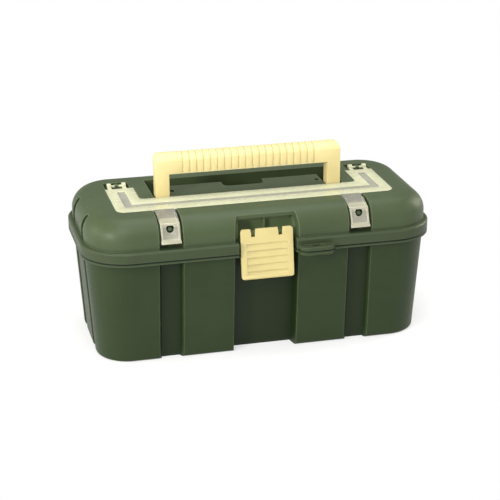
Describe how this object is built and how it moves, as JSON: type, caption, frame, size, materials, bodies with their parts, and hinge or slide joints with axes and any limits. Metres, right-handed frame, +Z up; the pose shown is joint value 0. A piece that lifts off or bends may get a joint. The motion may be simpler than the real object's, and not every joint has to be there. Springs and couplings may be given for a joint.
{
  "type": "fishing tackle box",
  "caption": "Moulded tackle box with a domed hinged lid, folding carry handle, clear U-shaped cover over lid bins, front latch and a lift-out tray.",
  "frame": {"origin": "middle of the tub's footprint, on the floor", "axes": "+X along the box to its right end, -Y out of the latch side, +Z up"},
  "size_m": [0.378, 0.196, 0.202],
  "materials": {
    "green_tub": "dark green moulded plastic with a fine satin texture",
    "green_lid": "dark green moulded plastic with a satin sheen",
    "cream": "pale cream moulded plastic, softly glossy",
    "clear": "clear polystyrene, frosted along the borders",
    "tray": "pale cream moulded plastic",
    "steel": "plain drawn wire"
  },
  "bodies": {
    "tub": {"tub": "green_tub", "lid_pin_left": "steel", "lid_pin_right": "steel", "lift_out_tray": "tray", "tray_divider_1": "clear", "tray_divider_2": "clear", "tray_divider_3": "clear", "tray_divider_4": "clear"},
    "lid": {"lid": "green_lid", "handle_plate": "green_lid", "handle_pin_left": "steel", "handle_pin_right": "steel", "latch_pin": "steel", "lid_divider_1": "clear", "lid_divider_2": "clear", "lid_divider_3": "clear", "lid_divider_4": "clear"},
    "cover": {"clear_cover": "clear"},
    "clip_left": {"clip_left": "clear"},
    "clip_right": {"clip_right": "clear"},
    "handle": {"handle": "cream"},
    "latch": {"latch": "cream"}
  },
  "joints": [
    {"name": "lid_open", "type": "hinge", "parent": "tub", "child": "lid", "pos_m": [0, 0.0935, 0.1165], "axis": [-1, 0, 0], "range_deg": [0, 105]},
    {"name": "cover_open", "type": "hinge", "parent": "lid", "child": "cover", "pos_m": [0, 0.039, 0.1566], "axis": [-1, 0, 0], "range_deg": [0, 105]},
    {"name": "handle_fold", "type": "hinge", "parent": "lid", "child": "handle", "pos_m": [0, -0.0016, 0.1505], "axis": [-1, 0, 0], "range_deg": [0, 90]},
    {"name": "latch_swing", "type": "hinge", "parent": "lid", "child": "latch", "pos_m": [0, -0.0766, 0.1333], "axis": [-1, 0, 0], "range_deg": [0, 100]},
    {"name": "clip_left_swing", "type": "hinge", "parent": "cover", "child": "clip_left", "pos_m": [0, -0.04755, 0.1554], "axis": [-1, 0, 0], "range_deg": [0, 70]},
    {"name": "clip_right_swing", "type": "hinge", "parent": "cover", "child": "clip_right", "pos_m": [0, -0.04755, 0.1554], "axis": [-1, 0, 0], "range_deg": [0, 70]}
  ],
  "couplings": [
    {"joint": "handle_fold", "follows": "cover_open", "ratio": 0.85714}
  ]
}
